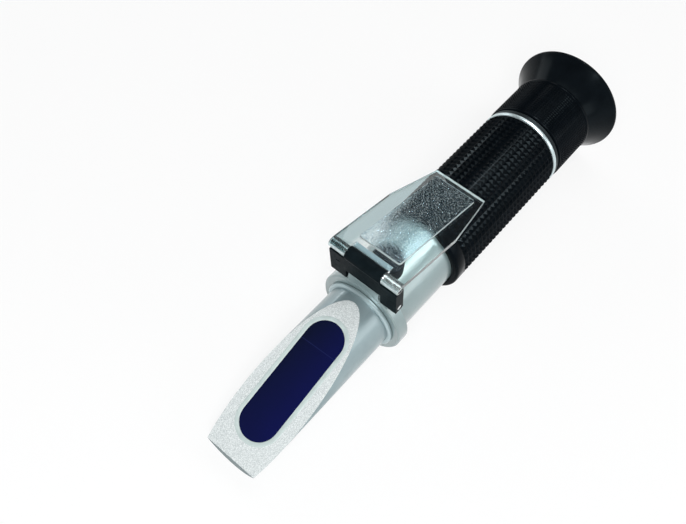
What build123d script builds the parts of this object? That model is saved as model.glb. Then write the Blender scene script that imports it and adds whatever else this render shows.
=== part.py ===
from build123d import *
import os
from math import asin, atan, cos, radians, sin, sqrt, tan

# Handheld refractometer, in millimetres.
# The optical axis runs along +X from the prism tip to the eyecup, and +Z is the prism face's side.
# The origin is under the middle of the instrument, level with the lowest point of the eyecup's rim.

os.makedirs("parts", exist_ok=True)

# Lengths along the optical axis, in order from the tip
head_length = 54.9
lock_ring_width = 1.3
collar_width = 4.5
bare_tube_length = 24.1
grip_length = 54.0
trim_ring_width = 1.4
mount_flange_width = 1.4
focus_gap = 0.6
focusing_ring_length = 17.8
eyecup_length = 10.0

# Radii, wall thicknesses and steps
head_radius = 10.75
lock_ring_step = 1.25
tube_wall = 1.4
collar_step = 2.2
grip_thickness = 2.3
mount_flange_drop = 0.2
sleeve_drop = 0.2
focusing_wall = 2.67
rim_radius = 19.4

# Clearances
seat_gap = 0.05
running_gap = 0.08
lid_rest_gap = 0.3
prism_gap = 0.1
face_gap = 0.1
thread_gap = 0.06

# Small edge breaks
edge_break = 0.3
collar_chamfer = 0.4
lock_ring_chamfer = 0.5
grip_front_fillet = 2.1

# Prism face and window
face_angle = 17.6
face_land = 2.3
window_width = 12.4
window_front_margin = 6.7
window_top_margin = 7.7
seal_width = 1.0
seal_depth = 1.2
bed_thickness = 0.8
floor_wall = 1.9
exit_margin = 1.0
bore_face_wall = 1.1
bore_rise = 0.5
spigot_clearance = 0.4
mask_thickness = 0.6
mask_window_width = 8.0
mask_window_height = 9.0
seal_cord_radius = 0.7

# Hinge lug, link and pins
lug_half_width = 5.5
lug_half_depth = 1.5
lug_rise = 1.45
pivot_setback = 1.6
pivot_rise = 0.85
link_reach = 11.2
link_lean = 5.1
link_side_inset = 0.2
link_depth = 3.2
link_arch = 2.55
leg_side_gap = 0.8
leg_end = 1.85
shoulder_gap = 0.25
knuckle_radius = 2.1
link_pin_radius = 0.8
link_pin_inset = 0.05
lid_pin_radius = 1.0
lid_pin_hold = 2.4
lid_pin_inset = 0.3

# Lid
lid_length = 47.0
lid_width = 24.4
lid_far_width = 18.0
lid_taper_start = 26.5
lid_near_edge = 2.4
lid_near_chamfer = 1.1
plate_thickness = 1.8
ear_radius = 1.7
ear_side_gap = 0.2
pad_height = 0.6
pad_width = 14.4
pad_near_edge = 5.4
pad_far_margin = 3.1
pad_corner_radius = 0.8
knuckle_half_width = 6.2

# Ribs of the grip
cuff_length = 4.8
rib_count = 26
rib_depth = 0.58
rib_crest = 0.23
rib_end_land = 0.2

# Calibration screw, its boss and cap
screw_setback = 6.5
cap_radius = 5.0
cap_top_thickness = 1.4
cap_top_gap = 0.2
cap_seat_gap = 0.15
cap_fillet = 0.6
boss_radius = 3.2
boss_rise = 2.4
boss_inside = 0.9
screw_head_radius = 1.9
screw_head_height = 1.5
screw_head_inset = 0.4
screw_shank_radius = 1.25
slot_width = 0.7
slot_depth = 0.7

# Objective and its compensator
adjust_travel = 0.35
carrier_wall = 3.3
carrier_length = 5.0
carrier_flat = 1.4
strip_thickness = 0.6
strip_width = 6.0
strip_length = 19.1
carrier_clearance = 0.2
cell_length = 6.0
cell_wall = 1.3
cell_lip = 1.2
cell_lip_step = 0.8
cell_foot_height = 0.45
objective_edge = 1.4
objective_sag = 0.8
cell_ring_width = 1.2
strip_screw_radius = 0.7
strip_screw_head_radius = 1.2
strip_screw_head_height = 0.7
strip_screw_length = 1.2

# Light baffle and reticle
baffle_start = 27.0
baffle_wall = 0.8
reticle_setback = 27.0
holder_length = 12.0
holder_wall = 2.5
holder_lip = 6.0
reticle_wall = 1.4
reticle_thickness = 1.6
reticle_ring_width = 1.8
reticle_screw_radius = 1.0
reticle_screw_length = 2.8
reticle_screw_inset = 0.1
reticle_screw_count = 3

# Eyepiece
mount_spigot_length = 8.0
mount_spigot_wall = 1.3
sleeve_wall = 1.7
focus_in_travel = 0.5
focus_out_travel = 1.5
focus_taper = 0.2
sleeve_end_gap = 0.5
web_thickness = 1.5
web_aperture = 7.5
eyecup_neck_length = 2.5
eyecup_neck_radius = 12.5
barrel_front_gap = 1.4
barrel_wall = 1.5
barrel_lip = 1.5
barrel_lip_step = 1.0
lens_flange = 1.2
lens_flange_width = 1.1
lens_sag = 2.0
barrel_ring_width = 0.9
key_radius = 0.75
key_reach = 1.2
key_end_gap = 0.3
key_setback = 5.0
brake_cord_radius = 0.6
brake_setback = 9.5
eyecup_bore = 9.5
eyecup_lip = 1.5
eyecup_lip_length = 0.8
eyecup_mouth_setback = 1.5
eyecup_hollow = 0.5

# Stations along the axis, measured from the tip
ring_front = head_length
collar_front = ring_front + lock_ring_width
tube_front = collar_front + collar_width
grip_front = tube_front + bare_tube_length
grip_rear = grip_front + grip_length
flange_front = grip_rear + trim_ring_width
flange_rear = flange_front + mount_flange_width
focus_front = flange_rear + focus_gap
eyecup_front = focus_front + focusing_ring_length
overall_length = eyecup_front + eyecup_length

# Turned sizes that fit each other
collar_bore = head_radius + seat_gap
tube_radius = collar_bore + tube_wall
lock_ring_radius = head_radius + lock_ring_step
collar_radius = tube_radius + collar_step
grip_radius = tube_radius + grip_thickness
sleeve_radius = tube_radius - sleeve_drop
barrel_bore = sleeve_radius - sleeve_wall
barrel_radius = barrel_bore - running_gap
focus_bore = sleeve_radius + running_gap
focusing_radius = focus_bore + focusing_wall

# The optical axis lies one rim radius above the surface that the instrument rests on
axis_height = rim_radius
tip = -overall_length / 2
optical_axis = Axis((0, 0, axis_height), (1, 0, 0))
side_plane = Plane(origin=(tip, 0, axis_height), x_dir=(1, 0, 0), z_dir=(0, -1, 0))


def across(station):
    """Plane square to the optical axis, at a distance from the tip, with local x along +Y."""
    return Plane(origin=(tip + station, 0, axis_height), x_dir=(0, 1, 0), z_dir=(1, 0, 0))


def level(station, height):
    """Horizontal plane at a distance from the tip and a height above the optical axis."""
    return Plane(origin=(tip + station, 0, axis_height + height))


def radial(station, turn):
    """Plane on the optical axis whose normal points outwards, turned about the axis from +Z."""
    return level(station, 0).rotated((turn, 0, 0))


def disc(station, outer, inner=0.0):
    """Round face square to the axis, with a hole where inner is given."""
    with BuildSketch(across(station)) as face:
        Circle(outer)
        if inner > 0:
            Circle(inner, mode=Mode.SUBTRACT)
    return face.sketch


def side_profile(points):
    """Closed face in the plane of symmetry from (station, radius) points."""
    with BuildSketch(side_plane) as face:
        with BuildLine():
            Polyline(*points, close=True)
        make_face()
    return face.sketch


def lens_profile(flat_station, direction, radius, edge, sag):
    """Half section of a plano-convex lens with a flat rim, crown towards direction."""
    rim = flat_station + direction * edge
    crown = rim + direction * sag
    clear = radius - lens_flange_width
    middle = clear * sqrt(0.5)
    bow = (clear**2 + sag**2) / (2 * sag)
    middle_station = crown - direction * (bow - sqrt(bow**2 - middle**2))
    with BuildSketch(side_plane) as face:
        with BuildLine():
            Line((flat_station, 0), (flat_station, radius))
            Line((flat_station, radius), (rim, radius))
            Line((rim, radius), (rim, clear))
            ThreePointArc((rim, clear), (middle_station, middle), (crown, 0))
            Line((crown, 0), (flat_station, 0))
        make_face()
    return face.sketch


# Prism face plane: it meets the top of the head just in front of the lock ring
face_top = head_length - face_land
slope = tan(radians(face_angle))
face_front_height = head_radius - face_top * slope
face_run = face_top / cos(radians(face_angle))
face_plane = Plane(
    origin=(tip, 0, axis_height + face_front_height),
    x_dir=(cos(radians(face_angle)), 0, sin(radians(face_angle))),
    z_dir=(-sin(radians(face_angle)), 0, cos(radians(face_angle))),
)
window_length = face_run - window_front_margin - window_top_margin
window_middle = window_front_margin + window_length / 2
pocket_width = window_width + 2 * prism_gap
pocket_floor = -(sqrt(head_radius**2 - (pocket_width / 2) ** 2) - floor_wall)
bed_top = pocket_floor + bed_thickness
exit_station = (window_front_margin + window_length) * cos(radians(face_angle)) + exit_margin
bore_front = exit_station + prism_gap
head_bore = face_front_height + bore_front * slope - bore_face_wall - bore_rise
screw_station = tube_front + screw_setback
carrier_front = screw_station - carrier_length / 2
spigot_end = screw_station - boss_radius - spigot_clearance
pocket_reach = 3 * head_radius


def window(grow):
    """Rounded window outline in the face plane, made larger all round by grow."""
    with BuildSketch(face_plane) as face:
        with Locations((window_middle, 0)):
            SlotOverall(window_length + 2 * grow, window_width + 2 * grow)
    return face.sketch


# Prism housing
with BuildPart() as prism_housing:
    extrude(disc(0, head_radius), amount=spigot_end)
    with BuildSketch(face_plane):
        Rectangle(2 * face_run, 4 * head_radius, align=(Align.MIN, Align.CENTER))
    extrude(amount=pocket_reach, mode=Mode.SUBTRACT)
    with BuildSketch(across(-face_land)):
        with Locations((0, 2 * head_radius + face_front_height)):
            Rectangle(4 * head_radius, 4 * head_radius)
    extrude(amount=face_land, mode=Mode.SUBTRACT)
    extrude(window(seal_width + prism_gap + seat_gap), amount=-seal_depth, mode=Mode.SUBTRACT)
    with BuildPart(mode=Mode.PRIVATE) as pocket:
        extrude(window(prism_gap), amount=-pocket_reach)
        with BuildSketch(level(0, pocket_floor)):
            Rectangle(bore_front, 4 * head_radius, align=(Align.MIN, Align.CENTER))
        extrude(amount=pocket_reach, mode=Mode.INTERSECT)
    add(pocket.part, mode=Mode.SUBTRACT)
    with BuildSketch(across(bore_front)):
        with Locations((0, bore_rise)):
            Circle(head_bore)
    extrude(amount=spigot_end - bore_front, mode=Mode.SUBTRACT)
    seal_station = collar_front + collar_width / 2
    seal_ring_radius = collar_bore - running_gap - seal_cord_radius
    groove_half = seal_cord_radius + running_gap
    extrude(
        disc(seal_station - groove_half, 2 * head_radius, seal_ring_radius - groove_half),
        amount=2 * groove_half,
        mode=Mode.SUBTRACT,
    )
prism_housing.part.label = "prism_housing"
export_step(prism_housing.part, "parts/prism_housing.step")

# Main prism: its top lies in the face, and its upright rear face lets the light out
with BuildPart() as main_prism:
    extrude(window(0), amount=-pocket_reach)
    with BuildSketch(level(0, bed_top + seat_gap)):
        Rectangle(exit_station, 4 * head_radius, align=(Align.MIN, Align.CENTER))
    extrude(amount=pocket_reach, mode=Mode.INTERSECT)
main_prism.part.label = "main_prism"
export_step(main_prism.part, "parts/main_prism.step")

# Sealing bead around the glass
with BuildPart() as prism_seal:
    extrude(window(seal_width + prism_gap), amount=-(seal_depth - seat_gap))
    extrude(window(seat_gap), amount=-seal_depth, mode=Mode.SUBTRACT)
prism_seal.part.label = "prism_seal"
export_step(prism_seal.part, "parts/prism_seal.step")

# Soft bed under the glass
with BuildPart() as prism_bed:
    extrude(window(0), amount=-pocket_reach)
    with BuildSketch(level(0, pocket_floor)):
        Rectangle(exit_station, 4 * head_radius, align=(Align.MIN, Align.CENTER))
    extrude(amount=bed_thickness, mode=Mode.INTERSECT)
prism_bed.part.label = "prism_bed"
export_step(prism_bed.part, "parts/prism_bed.step")

# Light stop in the bore behind the prism
with BuildPart() as exit_mask:
    with BuildSketch(across(bore_front)):
        with Locations((0, bore_rise)):
            Circle(head_bore - seat_gap)
            Rectangle(mask_window_width, mask_window_height, mode=Mode.SUBTRACT)
    extrude(amount=mask_thickness)
exit_mask.part.label = "exit_mask"
export_step(exit_mask.part, "parts/exit_mask.step")

# O-ring between the head and the collar
with BuildPart() as housing_seal:
    with BuildSketch(side_plane):
        with Locations((seal_station, seal_ring_radius)):
            Circle(seal_cord_radius)
    revolve(axis=optical_axis)
housing_seal.part.label = "housing_seal"
export_step(housing_seal.part, "parts/housing_seal.step")

# Lock ring in front of the collar, with a shallow groove at its rear
groove_step = lock_ring_step / 2
groove_width = lock_ring_width / 6
with BuildPart() as lock_ring:
    revolve(
        side_profile(
            [
                (ring_front, collar_bore),
                (ring_front, lock_ring_radius - lock_ring_chamfer),
                (ring_front + lock_ring_chamfer, lock_ring_radius),
                (collar_front - groove_width, lock_ring_radius),
                (collar_front - groove_width, lock_ring_radius - groove_step),
                (collar_front, lock_ring_radius - groove_step),
                (collar_front, collar_bore),
            ]
        ),
        axis=optical_axis,
    )
lock_ring.part.label = "lock_ring"
export_step(lock_ring.part, "parts/lock_ring.step")

# Pivots of the lid's double hinge, as station and height above the axis
pivot_station = collar_front + pivot_setback
pivot_height = collar_radius + pivot_rise
lean = radians(link_lean)
lid_pivot_station = pivot_station - link_reach * sin(lean)
lid_pivot_height = pivot_height + link_reach * cos(lean)
pivot_plane = Plane(
    origin=(tip + pivot_station, 0, axis_height + pivot_height),
    x_dir=(1, 0, 0),
    z_dir=(0, -1, 0),
)
lid_pivot_plane = Plane(
    origin=(tip + lid_pivot_station, 0, axis_height + lid_pivot_height),
    x_dir=(1, 0, 0),
    z_dir=(0, -1, 0),
)

# Hinge collar with its lug
with BuildPart() as hinge_collar:
    extrude(disc(collar_front, collar_radius), amount=collar_width)
    chamfer(hinge_collar.edges().filter_by(GeomType.CIRCLE), length=collar_chamfer)
    with BuildSketch(level(pivot_station - lug_half_depth, 0)):
        Rectangle(2 * lug_half_depth, 2 * lug_half_width, align=(Align.MIN, Align.CENTER))
    extrude(amount=pivot_height + lug_rise)
    lug_top = hinge_collar.faces().sort_by(Axis.Z)[-1]
    chamfer(lug_top.edges().filter_by(Axis.Y), length=edge_break)
    extrude(disc(collar_front, collar_bore), amount=collar_width, mode=Mode.SUBTRACT)
    with BuildSketch(pivot_plane):
        Circle(link_pin_radius + running_gap)
    extrude(amount=2 * lug_half_width, both=True, mode=Mode.SUBTRACT)
hinge_collar.part.label = "hinge_collar"
export_step(hinge_collar.part, "parts/hinge_collar.step")

# Hinge link: two legs astride the lug, a plate, and a knuckle between the lid's ears
link_width = lid_width - 2 * link_side_inset
link_plane = Plane(
    origin=(tip + pivot_station, 0, axis_height + pivot_height),
    x_dir=(0, 1, 0),
    z_dir=(cos(lean), 0, sin(lean)),
)
shoulder = link_reach - ear_radius - shoulder_gap
leg_inner = lug_half_width + leg_side_gap
with BuildPart() as hinge_link:
    with BuildSketch(link_plane):
        with Locations((0, (shoulder - leg_end) / 2)):
            Rectangle(link_width, shoulder + leg_end)
        with Locations((0, link_reach / 2)):
            Rectangle(2 * knuckle_half_width, link_reach)
        with Locations((0, (link_arch - 2 * leg_end) / 2)):
            Rectangle(2 * leg_inner, link_arch + 2 * leg_end, mode=Mode.SUBTRACT)
    extrude(amount=link_depth / 2, both=True)
    outer_corners = hinge_link.edges().filter_by(Plane.XZ).group_by(Axis.Y)
    fillet(outer_corners[0] + outer_corners[-1], radius=edge_break)
    with BuildSketch(lid_pivot_plane):
        Circle(knuckle_radius)
    extrude(amount=knuckle_half_width, both=True)
    with BuildSketch(lid_pivot_plane):
        Circle(lid_pin_radius + seat_gap)
    extrude(amount=link_width, both=True, mode=Mode.SUBTRACT)
    with BuildSketch(lid_pivot_plane):
        Circle(knuckle_radius - edge_break)
    extrude(amount=knuckle_half_width - lid_pin_hold - seat_gap, both=True)
    with BuildSketch(pivot_plane):
        Circle(link_pin_radius + seat_gap)
    extrude(amount=link_width, both=True, mode=Mode.SUBTRACT)
hinge_link.part.label = "hinge_link"
export_step(hinge_link.part, "parts/hinge_link.step")

# Lower hinge pin, held in the link's legs
with BuildPart() as link_pin:
    with BuildSketch(pivot_plane):
        Circle(link_pin_radius)
    extrude(amount=link_width / 2 - link_pin_inset, both=True)
link_pin.part.label = "link_pin"
export_step(link_pin.part, "parts/link_pin.step")

# Two lid pins, held in the knuckle's ends
pin_start = knuckle_half_width - lid_pin_hold
pin_length = lid_width / 2 - lid_pin_inset - pin_start
with BuildPart() as lid_pins:
    with BuildSketch(lid_pivot_plane.offset(pin_start)):
        Circle(lid_pin_radius)
    extrude(amount=pin_length)
    mirror(about=Plane.XZ)
lid_pins.part.label = "lid_pins"
export_step(lid_pins.part, "parts/lid_pins.step")

# Lid, laid back so that its far edge stays just clear of the grip
plate_top = ear_radius
plate_bottom = ear_radius - plate_thickness
lid_drop = lid_pivot_height - grip_radius - lid_rest_gap
lid_reach = sqrt(lid_length**2 + plate_bottom**2)
lid_tilt = asin(lid_drop / lid_reach) + atan(plate_bottom / lid_length)
lid_plane = Plane(
    origin=(tip + lid_pivot_station, 0, axis_height + lid_pivot_height),
    x_dir=(cos(lid_tilt), 0, -sin(lid_tilt)),
    z_dir=(sin(lid_tilt), 0, cos(lid_tilt)),
)
ear_inner = knuckle_half_width + ear_side_gap
with BuildPart() as daylight_lid:
    with BuildSketch(lid_plane.offset(plate_bottom)):
        with BuildLine():
            Polyline(
                (0, -lid_width / 2),
                (lid_taper_start, -lid_width / 2),
                (lid_length, -lid_far_width / 2),
                (lid_length, lid_far_width / 2),
                (lid_taper_start, lid_width / 2),
                (0, lid_width / 2),
                close=True,
            )
        make_face()
    extrude(amount=plate_thickness)
    with BuildSketch(lid_pivot_plane):
        Circle(ear_radius)
    extrude(amount=lid_width / 2, both=True)
    with BuildSketch(lid_plane.offset(-2 * ear_radius)):
        with Locations((lid_near_edge, 0)):
            Rectangle(4 * ear_radius, 2 * ear_inner, align=(Align.MAX, Align.CENTER))
    extrude(amount=4 * ear_radius, mode=Mode.SUBTRACT)
    near_middle = lid_plane.from_local_coords((lid_near_edge, 0, plate_top))
    chamfer(daylight_lid.edges().sort_by_distance(near_middle)[0], length=lid_near_chamfer)
    with BuildSketch(lid_plane.offset(plate_top)) as pad:
        with BuildLine():
            pad_far_edge = lid_length - pad_far_margin
            Polyline(
                (pad_near_edge, -pad_width / 2),
                (pad_far_edge, -pad_width / 2),
                (pad_far_edge, pad_width / 2),
                (pad_near_edge, pad_width / 2),
                close=True,
            )
        make_face()
        fillet(pad.vertices(), radius=pad_corner_radius)
    extrude(amount=pad_height)
    with BuildSketch(lid_pivot_plane):
        Circle(lid_pin_radius + running_gap)
    extrude(amount=lid_width, both=True, mode=Mode.SUBTRACT)
daylight_lid.part.label = "daylight_lid"
export_step(daylight_lid.part, "parts/daylight_lid.step")

# Body tube with the hole for the screw boss and the reticle screws
holder_front = grip_rear - reticle_setback
reticle_station = holder_front + holder_lip
reticle_screw_station = holder_front + holder_lip / 2
reticle_screw_turns = [turn * 360 / reticle_screw_count for turn in range(reticle_screw_count)]
with BuildPart() as body_tube:
    extrude(disc(tube_front, tube_radius, collar_bore), amount=grip_rear - tube_front)
    with BuildSketch(level(screw_station, 0)):
        Circle(boss_radius + seat_gap)
    extrude(amount=2 * tube_radius, mode=Mode.SUBTRACT)
    for turn in reticle_screw_turns:
        with BuildSketch(radial(reticle_screw_station, turn)):
            Circle(reticle_screw_radius + seat_gap)
        extrude(amount=2 * tube_radius, mode=Mode.SUBTRACT)
body_tube.part.label = "body_tube"
export_step(body_tube.part, "parts/body_tube.step")

# Grip sleeve with a rounded smooth cuff at its front and sharp ribs behind it
cuff_radius = min(grip_front_fillet, grip_thickness - edge_break)
ribs_length = grip_length - cuff_length - rib_end_land
rib_pitch = ribs_length / rib_count
valley_half = (rib_pitch - rib_crest) / 2
with BuildPart() as grip_sleeve:
    extrude(disc(grip_front, grip_radius), amount=grip_length)
    fillet(grip_sleeve.edges().sort_by(Axis.X)[0], radius=cuff_radius)
    with BuildSketch(side_plane):
        with Locations((grip_front + cuff_length + ribs_length / 2, grip_radius)):
            with GridLocations(rib_pitch, 0, rib_count + 1, 1):
                Polygon(
                    (-2 * valley_half, rib_depth),
                    (2 * valley_half, rib_depth),
                    (0, -rib_depth),
                    align=None,
                )
    revolve(axis=optical_axis, mode=Mode.SUBTRACT)
    extrude(disc(grip_front, tube_radius + seat_gap), amount=grip_length, mode=Mode.SUBTRACT)
grip_sleeve.part.label = "grip_sleeve"
export_step(grip_sleeve.part, "parts/grip_sleeve.step")

# Bright ring behind the grip
with BuildPart() as trim_ring:
    extrude(disc(grip_rear, grip_radius), amount=trim_ring_width)
    chamfer(trim_ring.edges().filter_by(GeomType.CIRCLE), length=edge_break / 2)
    extrude(disc(grip_rear, collar_bore), amount=trim_ring_width, mode=Mode.SUBTRACT)
trim_ring.part.label = "trim_ring"
export_step(trim_ring.part, "parts/trim_ring.step")

# Screw boss in the top of the tube, with a counterbore for the screw's head
boss_bottom = collar_bore - boss_inside
boss_top = tube_radius + boss_rise
screw_top = boss_top - screw_head_inset
screw_shoulder = screw_top - screw_head_height
with BuildPart() as screw_boss:
    with BuildSketch(level(screw_station, boss_bottom)):
        Circle(boss_radius)
    extrude(amount=boss_top - boss_bottom)
    with BuildSketch(level(screw_station, boss_bottom)):
        Circle(screw_shank_radius + running_gap)
    extrude(amount=boss_top - boss_bottom, mode=Mode.SUBTRACT)
    with BuildSketch(level(screw_station, screw_shoulder - seat_gap)):
        Circle(screw_head_radius + running_gap)
    extrude(amount=boss_top - screw_shoulder + seat_gap, mode=Mode.SUBTRACT)
screw_boss.part.label = "screw_boss"
export_step(screw_boss.part, "parts/screw_boss.step")

# Objective carrier: a ring with a tapped hole, moved up and down by the calibration screw
carrier_radius = boss_bottom - adjust_travel - carrier_clearance
carrier_bore = carrier_radius - carrier_wall
flat_height = -(carrier_radius - carrier_flat)
strip_end = carrier_front + strip_length
cell_front = strip_end - cell_length
strip_screw_stations = [
    carrier_front + carrier_length / 4,
    carrier_front + 3 * carrier_length / 4,
    cell_front + cell_length / 2,
]
with BuildPart() as compensator_ring:
    extrude(disc(carrier_front, carrier_radius, carrier_bore), amount=carrier_length)
    with BuildSketch(level(carrier_front, flat_height)):
        Rectangle(carrier_length, 2 * carrier_radius, align=(Align.MIN, Align.CENTER))
    extrude(amount=-carrier_radius, mode=Mode.SUBTRACT)
    with BuildSketch(level(screw_station, 0)):
        Circle(screw_shank_radius + thread_gap)
    extrude(amount=2 * carrier_radius, mode=Mode.SUBTRACT)
    for station in strip_screw_stations:
        with BuildSketch(level(station, flat_height)):
            Circle(strip_screw_radius + seat_gap)
        extrude(amount=strip_screw_length + seat_gap, mode=Mode.SUBTRACT)
compensator_ring.part.label = "compensator_ring"
export_step(compensator_ring.part, "parts/compensator_ring.step")

# Bimetal strip that carries the objective's cell
with BuildPart() as bimetal_strip:
    with BuildSketch(level(carrier_front, flat_height)):
        Rectangle(strip_length, strip_width, align=(Align.MIN, Align.CENTER))
    extrude(amount=-strip_thickness)
    for station in strip_screw_stations:
        with BuildSketch(level(station, flat_height)):
            Circle(strip_screw_radius + seat_gap)
        extrude(amount=-strip_thickness, mode=Mode.SUBTRACT)
bimetal_strip.part.label = "bimetal_strip"
export_step(bimetal_strip.part, "parts/bimetal_strip.step")

# Screws that hold the strip to the carrier and to the cell's foot
strip_bottom = flat_height - strip_thickness
with BuildPart() as strip_screws:
    for station in strip_screw_stations:
        with BuildSketch(level(station, strip_bottom)):
            Circle(strip_screw_head_radius)
        extrude(amount=-strip_screw_head_height)
        with BuildSketch(level(station, strip_bottom)):
            Circle(strip_screw_radius)
        extrude(amount=strip_thickness + strip_screw_length)
strip_screws.part.label = "strip_screws"
export_step(strip_screws.part, "parts/strip_screws.step")

# Objective cell with its foot on the strip
cell_radius = -flat_height - cell_foot_height
seat_radius = cell_radius - cell_wall
with BuildPart() as objective_cell:
    extrude(disc(cell_front, cell_radius), amount=cell_length)
    with BuildSketch(level(cell_front, flat_height)):
        Rectangle(cell_length, strip_width, align=(Align.MIN, Align.CENTER))
    extrude(amount=cell_wall + cell_foot_height)
    extrude(disc(cell_front, seat_radius - cell_lip_step), amount=cell_length, mode=Mode.SUBTRACT)
    extrude(disc(cell_front + cell_lip, seat_radius), amount=cell_length - cell_lip, mode=Mode.SUBTRACT)
    with BuildSketch(level(strip_screw_stations[-1], flat_height)):
        Circle(strip_screw_radius + seat_gap)
    extrude(amount=strip_screw_length + seat_gap, mode=Mode.SUBTRACT)
objective_cell.part.label = "objective_cell"
export_step(objective_cell.part, "parts/objective_cell.step")

# Objective lens and the ring that holds it
objective_radius = seat_radius - seat_gap
objective_flat = cell_front + cell_lip
with BuildPart() as objective_lens:
    revolve(
        lens_profile(objective_flat, 1, objective_radius, objective_edge, objective_sag),
        axis=optical_axis,
    )
objective_lens.part.label = "objective_lens"
export_step(objective_lens.part, "parts/objective_lens.step")

with BuildPart() as cell_ring:
    extrude(
        disc(objective_flat + objective_edge, objective_radius, objective_radius - lens_flange_width),
        amount=cell_ring_width,
    )
cell_ring.part.label = "cell_ring"
export_step(cell_ring.part, "parts/cell_ring.step")

# Calibration screw, held in the boss and threaded through the carrier
screw_end = carrier_bore + adjust_travel + carrier_clearance
with BuildPart() as calibration_screw:
    with BuildSketch(level(screw_station, screw_end)):
        Circle(screw_shank_radius)
    extrude(amount=screw_shoulder - screw_end)
    with BuildSketch(level(screw_station, screw_shoulder)):
        Circle(screw_head_radius)
    extrude(amount=screw_head_height)
    with BuildSketch(level(screw_station, screw_top)):
        Rectangle(3 * screw_head_radius, slot_width)
    extrude(amount=-slot_depth, mode=Mode.SUBTRACT)
calibration_screw.part.label = "calibration_screw"
export_step(calibration_screw.part, "parts/calibration_screw.step")

# Rubber cap over the boss, with its foot shaped to the tube
cap_inside = boss_top + cap_top_gap
cap_top = cap_inside + cap_top_thickness
with BuildPart() as screw_cap:
    with BuildSketch(level(screw_station, 0)):
        Circle(cap_radius)
    extrude(amount=cap_top)
    fillet(screw_cap.faces().sort_by(Axis.Z)[-1].edges(), radius=cap_fillet)
    extrude(disc(0, tube_radius + cap_seat_gap), amount=overall_length, mode=Mode.SUBTRACT)
    with BuildSketch(level(screw_station, 0)):
        Circle(boss_radius + running_gap)
    extrude(amount=cap_inside, mode=Mode.SUBTRACT)
screw_cap.part.label = "screw_cap"
export_step(screw_cap.part, "parts/screw_cap.step")

# Light baffle inside the tube
fixed_radius = collar_bore - seat_gap
baffle_front = tube_front + baffle_start
with BuildPart() as light_baffle:
    extrude(
        disc(baffle_front, fixed_radius, fixed_radius - baffle_wall),
        amount=holder_front - baffle_front,
    )
light_baffle.part.label = "light_baffle"
export_step(light_baffle.part, "parts/light_baffle.step")

# Reticle holder, reticle and its ring
reticle_seat = fixed_radius - reticle_wall
with BuildPart() as reticle_holder:
    extrude(disc(holder_front, fixed_radius, fixed_radius - holder_wall), amount=holder_length)
    extrude(disc(reticle_station, reticle_seat), amount=holder_length - holder_lip, mode=Mode.SUBTRACT)
    for turn in reticle_screw_turns:
        with BuildSketch(radial(reticle_screw_station, turn)):
            Circle(reticle_screw_radius + seat_gap)
        extrude(amount=2 * tube_radius, mode=Mode.SUBTRACT)
reticle_holder.part.label = "reticle_holder"
export_step(reticle_holder.part, "parts/reticle_holder.step")

with BuildPart() as reticle:
    extrude(disc(reticle_station, reticle_seat - seat_gap), amount=reticle_thickness)
reticle.part.label = "reticle"
export_step(reticle.part, "parts/reticle.step")

with BuildPart() as reticle_ring:
    extrude(
        disc(reticle_station + reticle_thickness, reticle_seat - seat_gap, fixed_radius - holder_wall),
        amount=reticle_ring_width,
    )
reticle_ring.part.label = "reticle_ring"
export_step(reticle_ring.part, "parts/reticle_ring.step")

# Grub screws through the tube into the reticle holder, hidden by the grip
with BuildPart() as reticle_screws:
    for turn in reticle_screw_turns:
        screw_face = radial(reticle_screw_station, turn).offset(tube_radius - reticle_screw_inset)
        with BuildSketch(screw_face):
            Circle(reticle_screw_radius)
        extrude(amount=-reticle_screw_length)
reticle_screws.part.label = "reticle_screws"
export_step(reticle_screws.part, "parts/reticle_screws.step")

# Eyepiece mount: spigot in the tube, flange behind the trim ring, threaded sleeve for the focusing ring
web_rear = eyecup_front - eyecup_neck_length
web_front = web_rear - web_thickness
sleeve_end = web_front - focus_in_travel - sleeve_end_gap
spigot_bore = fixed_radius - mount_spigot_wall
flange_radius = grip_radius - mount_flange_drop
brake_station = sleeve_end - brake_setback
brake_radius = focus_bore - running_gap - brake_cord_radius
brake_half = brake_cord_radius + running_gap
key_station = sleeve_end - key_setback
key_tip = barrel_radius - key_reach
key_length = sleeve_radius - seat_gap - key_tip
with BuildPart() as eyepiece_mount:
    revolve(
        side_profile(
            [
                (flange_front - mount_spigot_length, spigot_bore),
                (flange_front - mount_spigot_length, fixed_radius),
                (flange_front, fixed_radius),
                (flange_front, flange_radius),
                (flange_rear, flange_radius),
                (flange_rear, sleeve_radius),
                (sleeve_end, sleeve_radius),
                (sleeve_end, barrel_bore),
                (flange_rear, barrel_bore),
                (flange_rear, spigot_bore),
            ]
        ),
        axis=optical_axis,
    )
    extrude(
        disc(brake_station - brake_half, focus_bore, brake_radius - brake_half),
        amount=2 * brake_half,
        mode=Mode.SUBTRACT,
    )
    with BuildSketch(level(key_station, 0)):
        Circle(key_radius + seat_gap)
    extrude(amount=-2 * sleeve_radius, mode=Mode.SUBTRACT)
eyepiece_mount.part.label = "eyepiece_mount"
export_step(eyepiece_mount.part, "parts/eyepiece_mount.step")

# Guide pin that keeps the lens barrel from turning
with BuildPart() as guide_pin:
    with BuildSketch(level(key_station, -key_tip)):
        Circle(key_radius)
    extrude(amount=-key_length)
guide_pin.part.label = "guide_pin"
export_step(guide_pin.part, "parts/guide_pin.step")

# Damping ring that brakes the focusing thread
with BuildPart() as damping_ring:
    with BuildSketch(side_plane):
        with Locations((brake_station, brake_radius)):
            Circle(brake_cord_radius)
    revolve(axis=optical_axis)
damping_ring.part.label = "damping_ring"
export_step(damping_ring.part, "parts/damping_ring.step")

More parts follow.
